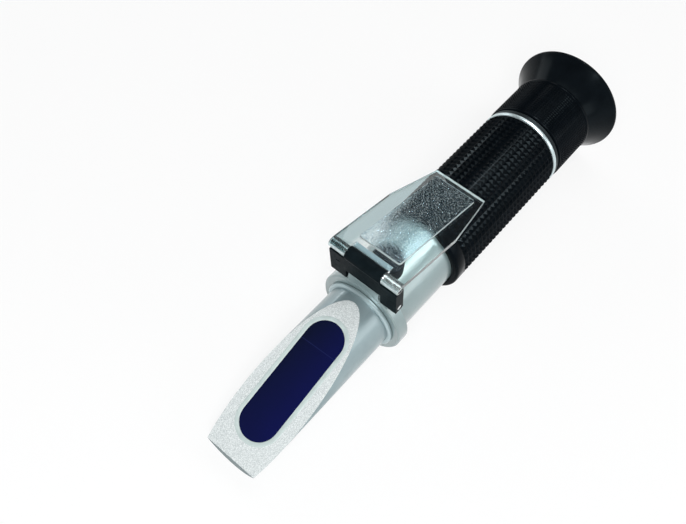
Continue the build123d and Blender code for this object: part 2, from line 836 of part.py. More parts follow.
# Lens barrel with a lip at its front and a slot for the guide pin
barrel_front = flange_rear + barrel_front_gap
barrel_rear = web_front - face_gap
lens_seat = barrel_radius - barrel_wall
slot_start = key_station - focus_out_travel - key_radius - key_end_gap
slot_end = key_station + focus_in_travel + key_radius + key_end_gap
with BuildPart() as lens_barrel:
    extrude(
        disc(barrel_front, barrel_radius, lens_seat - barrel_lip_step),
        amount=barrel_rear - barrel_front,
    )
    extrude(
        disc(barrel_front + barrel_lip, lens_seat),
        amount=barrel_rear - barrel_front - barrel_lip,
        mode=Mode.SUBTRACT,
    )
    with BuildSketch(level(slot_start, 0)):
        Rectangle(
            slot_end - slot_start,
            2 * (key_radius + running_gap),
            align=(Align.MIN, Align.CENTER),
        )
    extrude(amount=-2 * barrel_radius, mode=Mode.SUBTRACT)
lens_barrel.part.label = "lens_barrel"
export_step(lens_barrel.part, "parts/lens_barrel.step")

# Field lens, spacer, eye lens and retaining ring, in order from the front
lens_radius = lens_seat - seat_gap
field_flat = barrel_front + barrel_lip
eye_flat = barrel_rear - barrel_ring_width
with BuildPart() as field_lens:
    revolve(lens_profile(field_flat, 1, lens_radius, lens_flange, lens_sag), axis=optical_axis)
field_lens.part.label = "field_lens"
export_step(field_lens.part, "parts/field_lens.step")

with BuildPart() as lens_spacer:
    spacer_front = field_flat + lens_flange
    spacer_rear = eye_flat - lens_flange
    extrude(
        disc(spacer_front, lens_radius, lens_radius - lens_flange_width),
        amount=spacer_rear - spacer_front,
    )
lens_spacer.part.label = "lens_spacer"
export_step(lens_spacer.part, "parts/lens_spacer.step")

with BuildPart() as eye_lens:
    revolve(lens_profile(eye_flat, -1, lens_radius, lens_flange, lens_sag), axis=optical_axis)
eye_lens.part.label = "eye_lens"
export_step(eye_lens.part, "parts/eye_lens.step")

with BuildPart() as barrel_ring:
    extrude(disc(eye_flat, lens_radius, lens_radius - lens_flange_width), amount=barrel_ring_width)
barrel_ring.part.label = "barrel_ring"
export_step(barrel_ring.part, "parts/barrel_ring.step")

# Focusing ring with a web behind the lens barrel and a recess for the eyecup's neck
neck_bore = eyecup_neck_radius + seat_gap
with BuildPart() as focusing_ring:
    revolve(
        side_profile(
            [
                (focus_front, focus_bore),
                (focus_front, focusing_radius - focus_taper - edge_break),
                (focus_front + edge_break, focusing_radius - focus_taper),
                (eyecup_front, focusing_radius),
                (eyecup_front, neck_bore),
                (web_rear, neck_bore),
                (web_rear, web_aperture),
                (web_front, web_aperture),
                (web_front, focus_bore),
            ]
        ),
        axis=optical_axis,
    )
focusing_ring.part.label = "focusing_ring"
export_step(focusing_ring.part, "parts/focusing_ring.step")

# Flared eyecup with its neck in the focusing ring
lip_front = overall_length - eyecup_lip_length
flare_middle_station = (eyecup_front + lip_front) / 2
flare_middle_radius = (focusing_radius + rim_radius) / 2 - eyecup_hollow
with BuildPart() as eyecup:
    with BuildSketch(side_plane):
        with BuildLine():
            Polyline(
                (web_rear + eyecup_mouth_setback, eyecup_bore),
                (web_rear, eyecup_bore),
                (web_rear, eyecup_neck_radius),
                (eyecup_front, eyecup_neck_radius),
                (eyecup_front, focusing_radius),
            )
            ThreePointArc(
                (eyecup_front, focusing_radius),
                (flare_middle_station, flare_middle_radius),
                (lip_front, rim_radius),
            )
            Polyline(
                (lip_front, rim_radius),
                (overall_length, rim_radius),
                (overall_length, rim_radius - eyecup_lip),
                (web_rear + eyecup_mouth_setback, eyecup_bore),
            )
        make_face()
    revolve(axis=optical_axis)
eyecup.part.label = "eyecup"
export_step(eyecup.part, "parts/eyecup.step")
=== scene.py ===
from math import cos, pi, radians, sin, tan

import bmesh
import bpy
from mathutils import Matrix, Vector


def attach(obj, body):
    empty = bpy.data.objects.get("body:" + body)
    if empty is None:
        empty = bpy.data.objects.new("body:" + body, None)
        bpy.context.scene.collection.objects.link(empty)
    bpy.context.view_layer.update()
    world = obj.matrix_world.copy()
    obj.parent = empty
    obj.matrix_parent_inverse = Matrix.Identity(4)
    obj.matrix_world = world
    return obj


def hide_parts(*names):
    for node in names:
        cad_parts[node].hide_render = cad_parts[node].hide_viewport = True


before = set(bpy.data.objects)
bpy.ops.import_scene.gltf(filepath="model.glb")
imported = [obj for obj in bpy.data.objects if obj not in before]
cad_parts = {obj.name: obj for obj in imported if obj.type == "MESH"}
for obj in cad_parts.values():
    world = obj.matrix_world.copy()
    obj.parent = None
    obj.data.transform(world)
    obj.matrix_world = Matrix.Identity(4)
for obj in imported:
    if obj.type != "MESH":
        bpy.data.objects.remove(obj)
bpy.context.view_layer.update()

# Sizes and places of the pieces are in millimetres in the CAD's frame, and MM makes them metres
MM = 0.001
TIP = -85.0
AXIS_HEIGHT = 19.4


def point(station, side, height):
    """A place from its distance behind the tip, its side and its height above the optical axis."""
    return Vector(((TIP + station) * MM, side * MM, (AXIS_HEIGHT + height) * MM))


# Sizes that the CAD source also has, as distances behind the tip, radii, lengths and heights
GRIP_FRONT = 84.8
GRIP_REAR = 138.8
TRIM_REAR = 140.2
FOCUS_FRONT = 142.2
EYECUP_FRONT = 160.0
OVERALL = 170.0
GRIP_RADIUS = 14.5
GRIP_BORE = 12.25
TRIM_BORE = 10.8
FOCUS_RADIUS = 14.75
FOCUS_FRONT_RADIUS = 14.55
FOCUS_BORE = 12.08
WEB_REAR = 157.5
NECK_RADIUS = 12.5
EYECUP_BORE = 9.5
RIM_RADIUS = 19.4
LIP_WIDTH = 0.8
FACE_ANGLE = radians(17.6)
FACE_TOP = 52.6
HEAD_RADIUS = 10.75
WINDOW_LENGTH = 40.78
WINDOW_MIDDLE = 27.09
WINDOW_HALF_WIDTH = 6.2
LID_PIVOT_STATION = 56.804
LID_PIVOT_HEIGHT = 26.406
LID_TILT = radians(14.175)
LID_TOP = 1.7
LID_NEAR_SLOPE = (2.4, 3.5)
LINK_LEAN = radians(5.1)

# A small moulded recess in the front of the link's left leg, in the CAD's frame
LINK_RECESS_PLACE = (-29.3, 9.05, 39.9)
LINK_RECESS_SIZE = (1.8, 1.5, 0.5)

# The faint line on the prism, measured as a slant and a place along the axis
INNER_EDGE_SLANT = 0.04
INNER_EDGE_PLACE = 48.2
INNER_EDGE_HALF_WIDTH = 0.10

# Where painted shade on the prism fades its blue, along the axis and across it
PRISM_FRONT_X = -79.0
PRISM_REAR_X = -38.0
PRISM_SHADE_HALF_WIDTH = 6.0

# Along the head: where its sides' sheen sets in, and where the painted shade on its end gives way
SHEEN_X = (-60.0, -45.0)
PAINTED_END_SHADE_X = (-84.8, -83.6)

# How far from the plane of the sloped face a place still counts as on it
FACE_TOLERANCE = 0.03

# The grip's smooth cuff, and how far the eyecup's flare sags halfway along
CUFF_LENGTH = 4.2
CUFF_ROUNDING = 1.95
FLARE_SAG = 0.5
FLARE_STEPS = 16

# Knurls: where they start and end, the pitch along the axis, and the counts and radii
GRIP_KNURL_FRONT = 89.6
GRIP_KNURL_REAR = 138.7
GRIP_PITCH = 1.885
GRIP_ROWS = 26
GRIP_COLUMNS = 42
GRIP_GROOVE_RADIUS = 13.92
GRIP_REAR_RADIUS = 13.95
FOCUS_KNURL_FRONT = 142.9
FOCUS_KNURL_REAR = 158.9
FOCUS_PITCH = 0.93
FOCUS_ROWS = 17
FOCUS_COLUMNS = 92
FOCUS_GROOVE_RADIUS = 14.45
FOCUS_KNURL_RADIUS = 14.66

# Closed profile of the bead round the glass, as (distance outside the glass, rise)
BEAD_PROFILE = (
    (-0.05, -0.6), (-0.12, 0.0), (0.0, 0.05), (0.25, 0.08), (0.6, 0.09),
    (0.95, 0.08), (1.15, 0.04), (1.2, -0.05), (1.15, -0.6),
)

# The floor touches the eyecup's rim and the collar's underside, which lies higher
RIM_CONTACT_X = 84.2
COLLAR_CONTACT_X = -28.4
COLLAR_BOTTOM = 5.0
FLOOR_GAP = 0.05

# How far the floor goes to each side, in metres
FLOOR_REACH = 4

# In degrees: edges sharper than the first are kept or bevelled, flatter than the second go
SHARP_ANGLE = 35.0
FLAT_ANGLE = 0.6

# Corners nearer to each other than this become one
MERGE_DISTANCE = 0.0005

# Camera as fitted to the photograph: image in pixels, sensor in millimetres, place in metres
IMAGE_WIDTH = 686
FOCAL_PIXELS = 835.069
SENSOR_WIDTH = 36.0
CAMERA_PLACE = (-0.12505, -0.07008, 0.23920)
CAMERA_RIGHT = (0.64932, -0.76032, 0.01758)
CAMERA_UP = (0.64016, 0.55889, 0.52710)
CAMERA_BACK = (-0.41059, -0.33100, 0.84962)

# What the lamps face, in metres
LAMPS_AIM = (-0.01, 0.0, 0.02)

# The room's light, by the height of the direction it comes from
ROOM_COLOUR = (0.96, 0.985, 1.0, 1.0)
HORIZON_HEIGHT = 0.08
OVERHEAD_HEIGHT = 0.45
HORIZON_LIGHT = 0.80
OVERHEAD_LIGHT = 0.05

# The lid's tint, the sheen of black finishes, and the colour below which a finish is black
ACRYLIC_TINT = (0.82, 0.87, 0.865)
BLACK_SHEEN = (0.72, 0.92, 1.0, 1.0)
BLACK_LIMIT = 0.02

# The floor's own colour, and how much of it gives way to white where it is seen
FLOOR_COLOUR = (0.86, 0.87, 0.87, 1.0)
FLOOR_GLOW_SHARE = 0.82


# Camera and light
scene = bpy.context.scene
camera_data = bpy.data.cameras.new("camera")
camera_data.sensor_width = SENSOR_WIDTH
camera_data.lens = FOCAL_PIXELS / IMAGE_WIDTH * SENSOR_WIDTH
camera_data.clip_start = 0.01
camera_data.clip_end = 20.0
camera = bpy.data.objects.new("camera", camera_data)
scene.collection.objects.link(camera)
look = Matrix((CAMERA_RIGHT, CAMERA_UP, CAMERA_BACK)).transposed()
camera.matrix_world = Matrix.Translation(CAMERA_PLACE) @ look.to_4x4()
scene.camera = camera

scene.view_settings.view_transform = "Standard"


def lamp(name, direction, distance, size, power, along=None):
    """Soft rectangular lamp that faces the middle of the object from a direction.

    distance and size are in metres, power is in watts, and along turns the lamp so that its
    first side runs that way.
    """
    data = bpy.data.lights.new(name, "AREA")
    data.shape = "RECTANGLE"
    data.size, data.size_y = size
    data.energy = power
    item = bpy.data.objects.new(name, data)
    scene.collection.objects.link(item)
    aim = Vector(direction).normalized()
    item.location = Vector(LAMPS_AIM) + aim * distance
    item.rotation_mode = "QUATERNION"
    item.rotation_quaternion = (-aim).to_track_quat("-Z", "Y")
    if along:
        side = (Vector(along) - Vector(along).dot(aim) * aim).normalized()
        item.rotation_quaternion = Matrix((side, aim.cross(side), aim)).transposed().to_quaternion()
    return item


lamp("lamp_above", (0.50, 0.00, 0.866), 0.60, (0.60, 0.34), 0.8, along=(0.0, 1.0, 0.0))
# These two give highlights alone, such as those on the grip and on the barrel
for key in (
    lamp("lamp_key", (0.56, 0.02, 0.83), 0.60, (0.11, 0.11), 1.5),
    lamp("lamp_side_key", (0.46, -0.40, 0.79), 0.60, (0.14, 0.14), 1.0),
):
    key.visible_diffuse = False
lamp("lamp_right", (0.45, -0.85, 0.36), 0.60, (0.40, 0.26), 0.9)
lamp("lamp_left", (0.35, 0.88, 0.34), 0.60, (0.40, 0.26), 0.8)
lamp("lamp_front", (-0.56, -0.34, 0.755), 0.60, (0.30, 0.26), 3.4)
# This one shows as a reflection in the left part of the lid
lamp(
    "lamp_back", (0.781, 0.401, 0.480), 0.623, (0.143, 0.120), 0.10, along=(0.765, -0.225, -0.603)
)

# The room is white near the horizon and dark overhead
world = bpy.data.worlds.new("studio")
scene.world = world
world.use_nodes = True
tree = world.node_tree
tree.nodes.clear()
output = tree.nodes.new("ShaderNodeOutputWorld")
room = tree.nodes.new("ShaderNodeBackground")
room.inputs["Color"].default_value = ROOM_COLOUR
direction = tree.nodes.new("ShaderNodeTexCoord")
split = tree.nodes.new("ShaderNodeSeparateXYZ")
fade = tree.nodes.new("ShaderNodeMapRange")
fade.interpolation_type = "SMOOTHSTEP"
fade.inputs["From Min"].default_value = HORIZON_HEIGHT
fade.inputs["From Max"].default_value = OVERHEAD_HEIGHT
fade.inputs["To Min"].default_value = HORIZON_LIGHT
fade.inputs["To Max"].default_value = OVERHEAD_LIGHT
tree.links.new(direction.outputs["Generated"], split.inputs[0])
tree.links.new(split.outputs["Z"], fade.inputs["Value"])
tree.links.new(fade.outputs[0], room.inputs["Strength"])
tree.links.new(room.outputs[0], output.inputs[0])


# Materials
class Maker:
    """Node tree of one material, with short calls for the nodes that the finishes share."""

    def __init__(self, name):
        self.material = bpy.data.materials.new(name)
        self.material.use_nodes = True
        self.tree = self.material.node_tree
        self.shader = self.tree.nodes["Principled BSDF"]
        self.place = self.tree.nodes.new("ShaderNodeTexCoord").outputs["Object"]

    def node(self, kind, **settings):
        item = self.tree.nodes.new(kind)
        for key, value in settings.items():
            setattr(item, key, value)
        return item

    def link(self, source, target):
        self.tree.links.new(source, target)

    def stretched(self, factors):
        """Object coordinates with each axis scaled."""
        item = self.node("ShaderNodeMapping")
        item.inputs["Scale"].default_value = factors
        self.link(self.place, item.inputs["Vector"])
        return item.outputs["Vector"]

    def noise(self, size, detail=2.0, rough=0.5, place=None):
        """Noise whose spots are about size millimetres wide."""
        item = self.node("ShaderNodeTexNoise")
        item.inputs["Scale"].default_value = 1.0 / (size * MM)
        item.inputs["Detail"].default_value = detail
        item.inputs["Roughness"].default_value = rough
        self.link(place or self.place, item.inputs["Vector"])
        return item.outputs["Fac"]

    def spread(self, source, low, high, start=0.3, end=0.7):
        """Maps a value from start-end to low-high."""
        item = self.node("ShaderNodeMapRange")
        item.inputs["From Min"].default_value = start
        item.inputs["From Max"].default_value = end
        item.inputs["To Min"].default_value = low
        item.inputs["To Max"].default_value = high
        self.link(source, item.inputs["Value"])
        return item.outputs["Result"]

    def mix(self, factor, first, second):
        """Mixes two colours, each a tuple or a socket."""
        item = self.node("ShaderNodeMix", data_type="RGBA")
        self.link(factor, item.inputs["Factor"])
        for socket, value in ((item.inputs[6], first), (item.inputs[7], second)):
            if isinstance(value, tuple):
                socket.default_value = (*value, 1.0)
            else:
                self.link(value, socket)
        return item.outputs[2]

    def math(self, operation, first, second=None):
        item = self.node("ShaderNodeMath", operation=operation)
        for socket, value in zip(item.inputs, (first, second)):
            if value is None:
                continue
            if isinstance(value, (int, float)):
                socket.default_value = value
            else:
                self.link(value, socket)
        return item.outputs[0]

    def bump(self, height, depth, strength=1.0):
        """Gives the surface a bump of a depth in millimetres."""
        item = self.node("ShaderNodeBump")
        item.inputs["Strength"].default_value = strength
        item.inputs["Distance"].default_value = depth * MM
        self.link(height, item.inputs["Height"])
        self.link(item.outputs["Normal"], self.shader.inputs["Normal"])

    def colour(self, source):
        self.link(source, self.shader.inputs["Base Color"])

    def roughness(self, source):
        self.link(source, self.shader.inputs["Roughness"])


def dim(colour, factor):
    return tuple(min(1.0, part * factor) for part in colour)


def finish(name, colour, metallic=0.0, rough=0.4, vary=0.08, patch=5.0, spread=0.06,
           grain=0.25, depth=0.01, stretch=None, specular=0.5):
    """Procedural finish: patchy colour, patchy roughness and a fine grain.

    vary and spread are how far the colour and the roughness stray, patch and grain are
    sizes in millimetres, and depth is the grain's.
    """
    made = Maker(name)
    place = made.stretched(stretch) if stretch else None
    patches = made.noise(patch, 4.0, 0.6)
    darker, lighter = dim(colour, 1.0 - vary), dim(colour, 1.0 + vary)
    made.colour(made.mix(made.spread(patches, 0.0, 1.0), darker, lighter))
    smudges = made.noise(patch * 0.4, 5.0, 0.6, place)
    made.roughness(made.spread(smudges, rough - spread, rough + spread))
    made.bump(made.noise(grain, 3.0, 0.6, place), depth)
    made.shader.inputs["Metallic"].default_value = metallic
    made.shader.inputs["Specular IOR Level"].default_value = specular
    if max(colour) < BLACK_LIMIT:
        made.shader.inputs["Specular Tint"].default_value = BLACK_SHEEN
    return made


def blasted_head():
    """Satin metal whose sloped face is blasted bright and speckled, and whose end is darker with
    painted shade.
    """
    made = Maker("head_metal")
    split = made.node("ShaderNodeSeparateXYZ")
    made.link(made.place, split.inputs[0])
    front_height = (AXIS_HEIGHT + HEAD_RADIUS - FACE_TOP * tan(FACE_ANGLE)) * MM
    plane = made.math("MULTIPLY", split.outputs["X"], tan(FACE_ANGLE))
    level = made.math("ADD", plane, front_height - TIP * MM * tan(FACE_ANGLE))
    away = made.math("ABSOLUTE", made.math("SUBTRACT", split.outputs["Z"], level))
    on_face = made.math("LESS_THAN", away, FACE_TOLERANCE * MM)
    off_face = made.spread(on_face, 1.0, 0.0, 0.0, 1.0)
    speckle = made.spread(made.noise(0.28, 1.5, 0.6), 0.0, 1.0, 0.38, 0.64)
    face = made.mix(speckle, (0.47, 0.515, 0.52), (0.73, 0.77, 0.77))
    cloud = made.spread(made.noise(7.0, 3.0), 0.0, 1.0)
    side = made.mix(cloud, (0.236, 0.312, 0.331), (0.278, 0.358, 0.378))
    # Painted shade: the flat end face is darker than the satin sides
    behind_painted_end_shade = made.spread(split.outputs["X"], 0.0, 1.0, PAINTED_END_SHADE_X[0] * MM, PAINTED_END_SHADE_X[1] * MM)
    side = made.mix(behind_painted_end_shade, (0.15, 0.20, 0.21), side)
    made.colour(made.mix(on_face, side, face))
    made.link(made.spread(on_face, 0.55, 0.15, 0.0, 1.0), made.shader.inputs["Metallic"])
    near_ring = made.spread(split.outputs["X"], 0.0, 0.8, SHEEN_X[0] * MM, SHEEN_X[1] * MM)
    made.link(made.math("MULTIPLY", off_face, near_ring), made.shader.inputs["Coat Weight"])
    made.shader.inputs["Coat Roughness"].default_value = 0.20
    made.shader.inputs["Specular IOR Level"].default_value = 0.25
    rough = made.spread(on_face, 0.46, 0.64, 0.0, 1.0)
    made.roughness(made.math("ADD", rough, made.spread(made.noise(2.0, 4.0), -0.04, 0.04)))
    grit = made.math("MULTIPLY", made.noise(0.28, 3.0, 0.65), made.math("ADD", on_face, 0.25))
    made.bump(grit, 0.045)
    return made


def deep_prism():
    """Dark blue glass over its dark bed with painted shade, and the faint edge of its slanted inner
    face.
    """
    made = Maker("prism_blue")
    split = made.node("ShaderNodeSeparateXYZ")
    made.link(made.place, split.inputs[0])
    # Painted shade: the blue fades to near black towards the left side (+Y), more so towards the
    # rear
    along = made.spread(split.outputs["X"], 0.0, 1.0, PRISM_FRONT_X * MM, PRISM_REAR_X * MM)
    reach = PRISM_SHADE_HALF_WIDTH * MM
    across = made.spread(split.outputs["Y"], 0.0, 1.0, -reach, reach)
    depth = made.math("MULTIPLY", across, made.spread(along, 0.4, 1.0, 0.0, 1.0))
    base = made.mix(depth, (0.0046, 0.0064, 0.060), (0.0036, 0.0060, 0.010))
    cloud = made.spread(made.noise(9.0, 2.0), 0.0, 1.0)
    base = made.mix(made.math("MULTIPLY", cloud, 0.4), base, (0.0042, 0.0062, 0.040))
    # The line lies across the window at a nearly constant distance from the tip
    slant = made.math("MULTIPLY", split.outputs["Y"], INNER_EDGE_SLANT)
    distance = made.math("ADD", made.math("ADD", split.outputs["X"], slant), INNER_EDGE_PLACE * MM)
    away = made.math("ABSOLUTE", distance)
    line = made.math("LESS_THAN", away, INNER_EDGE_HALF_WIDTH * MM)
    base = made.mix(made.math("MULTIPLY", line, 0.35), base, (0.020, 0.028, 0.120))
    made.colour(base)
    made.roughness(made.spread(made.noise(3.0, 4.0), 0.04, 0.10))
    made.bump(made.noise(6.0, 2.0), 0.01, 0.4)
    made.shader.inputs["IOR"].default_value = 1.5
    made.shader.inputs["Specular IOR Level"].default_value = 0.30
    return made


def clear_plastic(name, tint, clear, rough):
    """Clear acrylic with a slight haze; clear is the share of light that goes straight through."""
    made = Maker(name)
    cloud = made.spread(made.noise(6.0, 3.0), 0.0, 1.0)
    made.colour(made.mix(cloud, dim(tint, 0.97), tint))
    made.shader.inputs["Transmission Weight"].default_value = clear
    made.shader.inputs["IOR"].default_value = 1.49
    made.roughness(made.spread(made.noise(2.5, 5.0), 0.0, rough))
    made.bump(made.noise(4.0, 3.0), 0.01, 0.3)
    return made


def lid_plastic():
    """The lid's clear acrylic, with painted shade that greys it along its left side."""
    made = clear_plastic("clear_acrylic", ACRYLIC_TINT, clear=1.0, rough=0.02)
    split = made.node("ShaderNodeSeparateXYZ")
    made.link(made.place, split.inputs[0])
    # Painted shade: a darker grey tint over the left side of the plate
    left = made.spread(split.outputs["Y"], 0.0, 1.0, 5.0 * MM, 8.0 * MM)
    made.colour(made.mix(left, ACRYLIC_TINT, (0.37, 0.475, 0.49)))
    return made


def frosted_plastic():
    """Moulded frosting: bright and dark grains, through which shapes stay blurred."""
    made = Maker("frosted_acrylic")
    grains = made.noise(0.38, 1.0, 0.6)
    pale = made.spread(grains, 0.0, 1.0, 0.4, 0.6)
    made.colour(made.mix(pale, (0.24, 0.36, 0.43), (0.78, 0.96, 1.0)))
    clear = made.spread(grains, 1.0, 0.62, 0.58, 0.68)
    made.link(clear, made.shader.inputs["Transmission Weight"])
    made.shader.inputs["IOR"].default_value = 1.49
    made.shader.inputs["Specular Tint"].default_value = (0.52, 0.76, 0.90, 1.0)
    made.roughness(made.spread(made.noise(0.9, 2.0), 0.05, 0.11))
    made.bump(grains, 0.10)
    return made


head = blasted_head()
prism = deep_prism()
ring_metal = finish(
    "ring_metal", (0.40, 0.50, 0.52), metallic=0.65, rough=0.34, vary=0.06, patch=6.0,
    spread=0.06, grain=0.15, depth=0.006, stretch=(1.0, 6.0, 6.0),
)
satin = finish(
    "satin_aluminium", (0.212, 0.284, 0.290), metallic=0.40, rough=0.42, vary=0.04, patch=9.0,
    spread=0.03, grain=0.22, depth=0.012,
)
satin.shader.inputs["Coat Weight"].default_value = 1.0
satin.shader.inputs["Coat Roughness"].default_value = 0.20
satin.shader.inputs["Coat IOR"].default_value = 1.6
bright = finish(
    "bright_aluminium", (0.56, 0.66, 0.68), metallic=0.75, rough=0.30, vary=0.05, patch=5.0,
    spread=0.05, grain=0.12, depth=0.004, stretch=(8.0, 1.0, 1.0),
)
chrome = finish(
    "chrome", (0.78, 0.83, 0.84), metallic=1.0, rough=0.26, vary=0.05, patch=2.0,
    spread=0.05, grain=0.2, depth=0.003,
)
bead = finish(
    "seal_bead", (0.48, 0.56, 0.55), rough=0.40, vary=0.08, patch=2.5,
    spread=0.08, grain=0.3, depth=0.01, specular=0.3,
)
seal = finish(
    "seal_rubber", (0.020, 0.020, 0.021), rough=0.5, vary=0.2, patch=2.0,
    spread=0.1, grain=0.2, depth=0.01, specular=0.2,
)
rubber = finish(
    "grip_rubber", (0.0018, 0.0030, 0.0044), rough=0.17, vary=0.25, patch=4.0,
    spread=0.04, grain=0.18, depth=0.004, specular=0.034,
)
cap_rubber = finish(
    "cap_rubber", (0.010, 0.013, 0.018), rough=0.55, vary=0.2, patch=3.0,
    spread=0.08, grain=0.2, depth=0.015, specular=0.15,
)
link_plastic = finish(
    "link_plastic", (0.0055, 0.0092, 0.0112), rough=0.36, vary=0.25, patch=3.0,
    spread=0.08, grain=0.22, depth=0.016, specular=0.015,
)
focus_plastic = finish(
    "focus_plastic", (0.0026, 0.0040, 0.0056), rough=0.15, vary=0.2, patch=4.0,
    spread=0.04, grain=0.2, depth=0.002, specular=0.03,
)
gloss_plastic = finish(
    "eyecup_plastic", (0.0034, 0.0050, 0.0066), rough=0.20, vary=0.25, patch=8.0,
    spread=0.05, grain=0.4, depth=0.004, specular=0.05,
)
black_metal = finish(
    "black_aluminium", (0.008, 0.010, 0.011), metallic=0.2, rough=0.46, vary=0.2, patch=3.0,
    spread=0.08, grain=0.15, depth=0.006, specular=0.2,
)
inner_plastic = finish(
    "inner_plastic", (0.018, 0.018, 0.019), rough=0.55, vary=0.2, patch=3.0,
    spread=0.08, grain=0.2, depth=0.01, specular=0.2,
)
brass = finish(
    "brass", (0.70, 0.53, 0.24), metallic=1.0, rough=0.30, vary=0.10, patch=2.0,
    spread=0.08, grain=0.15, depth=0.006,
)
spring_steel = finish(
    "spring_steel", (0.52, 0.52, 0.53), metallic=1.0, rough=0.32, vary=0.10, patch=2.0,
    spread=0.08, grain=0.12, depth=0.004,
)
acrylic = lid_plastic()
frosted = frosted_plastic()
moulded = clear_plastic("moulded_slope", (0.36, 0.53, 0.58), clear=0.40, rough=0.35)
# Painted highlight: the lid's upright edges are pale and partly opaque, so they show as bright
# lines
edge_highlight_plastic = clear_plastic("edge_painted_highlight", (0.58, 0.68, 0.69), clear=0.38, rough=0.15)
lens_glass = clear_plastic("lens_glass", (0.93, 0.96, 0.99), clear=1.0, rough=0.02)

NODE_FINISH = {
    "prism_housing": head, "main_prism": prism, "prism_seal": bead, "prism_bed": seal,
    "exit_mask": black_metal, "housing_seal": seal, "lock_ring": ring_metal,
    "hinge_collar": satin, "hinge_link": link_plastic, "link_pin": chrome, "lid_pins": chrome,
    "daylight_lid": acrylic, "body_tube": satin, "grip_sleeve": rubber, "trim_ring": bright,
    "screw_boss": brass, "compensator_ring": black_metal, "bimetal_strip": spring_steel,
    "strip_screws": spring_steel, "objective_cell": black_metal, "objective_lens": lens_glass,
    "cell_ring": black_metal, "calibration_screw": brass, "screw_cap": cap_rubber,
    "light_baffle": inner_plastic, "reticle_holder": black_metal, "reticle": lens_glass,
    "reticle_ring": black_metal, "reticle_screws": spring_steel, "eyepiece_mount": black_metal,
    "guide_pin": spring_steel, "damping_ring": seal, "lens_barrel": inner_plastic,
    "field_lens": lens_glass, "lens_spacer": inner_plastic, "eye_lens": lens_glass,
    "barrel_ring": inner_plastic, "focusing_ring": focus_plastic, "eyecup": gloss_plastic,
}
for node, made in NODE_FINISH.items():
    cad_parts[node].material_slots[0].material = made.material


# Mesh helpers
def new_piece(name, mesh, body, slot, *made):
    """Links a mesh as a piece that rides on a body, with its finishes."""
    item = bpy.data.objects.new(name, mesh)
    scene.collection.objects.link(item)
    for one in made:
        mesh.materials.append(one.material)
    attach(item, body)
    return item


def shade(mesh, angle=SHARP_ANGLE):
    """Smooth shading that keeps the edges sharper than an angle."""
    for face in mesh.polygons:
        face.use_smooth = True
    mesh.set_sharp_from_angle(angle=radians(angle))


def rounded(corners, steps=4):
    """Profile of (station, radius, rounding) corners, with a curve of that rounding at each."""
    path = []
    count = len(corners)
    for index, (station, radius, rounding) in enumerate(corners):
        here = Vector((station, radius))
        if rounding <= 0:
            path.append(here)
            continue
        before = Vector(corners[index - 1][:2]) - here
        after = Vector(corners[(index + 1) % count][:2]) - here
        half = before.angle(after) / 2
        setback = min(rounding / tan(half), 0.49 * before.length, 0.49 * after.length)
        start = here + before.normalized() * setback
        end = here + after.normalized() * setback
        for step in range(steps + 1):
            t = step / steps
            path.append(start.lerp(here, t).lerp(here.lerp(end, t), t))
    return path


def turned(name, profile, segments=160):
    """Closed ring-shaped mesh from a closed (station, radius) profile."""
    count = len(profile)
    verts = []
    for turn in range(segments):
        angle = 2 * pi * turn / segments
        verts += [point(p[0], p[1] * sin(angle), p[1] * cos(angle)) for p in profile]
    faces = []
    for turn in range(segments):
        here, there = turn * count, (turn + 1) % segments * count
        for index in range(count):
            after = (index + 1) % count
            faces.append((here + index, here + after, there + after, there + index))
    mesh = bpy.data.meshes.new(name)
    mesh.from_pydata(verts, [], faces)
    tidy(mesh)
    return mesh


def tidy(mesh):
    """Makes all the faces look outwards."""
    made = bmesh.new()
    made.from_mesh(mesh)
    bmesh.ops.recalc_face_normals(made, faces=made.faces)
    made.to_mesh(mesh)
    made.free()


def knurled(name, lead, rows, first, pitch, columns, low, high, tail, bore, groove, top):
    """Sleeve with rows of square pyramids.

    lead and tail are the (station, radius) profiles before and after the rows, groove is the
    width of the grooves and top that of the pyramids' flat tops, as shares of half a pitch.
    """
    steps = (-1.0, -1.0 + groove, -top, top, 1.0 - groove)
    heights = (0, 0, 1, 1, 0)
    turns = []
    for column in range(columns):
        for step, height in zip(steps, heights):
            turns.append((2 * pi * (column + 0.5 + step / 2) / columns, height))
    rings = [(station, radius, None) for station, radius in lead]
    for row in range(rows):
        for step, height in zip(steps, heights):
            rings.append((first + pitch * (row + 0.5 + step / 2), None, height))
    rings.append((first + pitch * rows, None, 0))
    rings += [(station, radius, None) for station, radius in tail]
    rings += [(tail[-1][0], bore, None), (lead[0][0], bore, None)]
    verts = []
    for station, radius, height in rings:
        for angle, across in turns:
            here = radius if radius is not None else (high if height and across else low)
            verts.append(point(station, here * sin(angle), here * cos(angle)))
    count = len(turns)
    faces = []
    smooth = []
    for index in range(len(rings)):
        after = (index + 1) % len(rings)
        flat = rings[index][1] is None and rings[after][1] is None
        for turn in range(count):
            beside = (turn + 1) % count
            here, there = index * count, after * count
            quad = [here + turn, here + beside, there + beside, there + turn]
            peaks = []
            if flat:
                corners = [(index, turn), (index, beside), (after, beside), (after, turn)]
                peaks = [k for k, (r, c) in enumerate(corners) if rings[r][2] and turns[c][1]]
            if len(peaks) == 1:
                k = peaks[0]
                faces.append((quad[k], quad[(k + 1) % 4], quad[(k + 2) % 4]))
                faces.append((quad[k], quad[(k + 2) % 4], quad[(k + 3) % 4]))
                smooth += [False, False]
            else:
                faces.append(tuple(quad))
                smooth.append(not flat)
    mesh = bpy.data.meshes.new(name)
    mesh.from_pydata(verts, [], faces)
    for face, soft in zip(mesh.polygons, smooth):
        face.use_smooth = soft
    tidy(mesh)
    return mesh


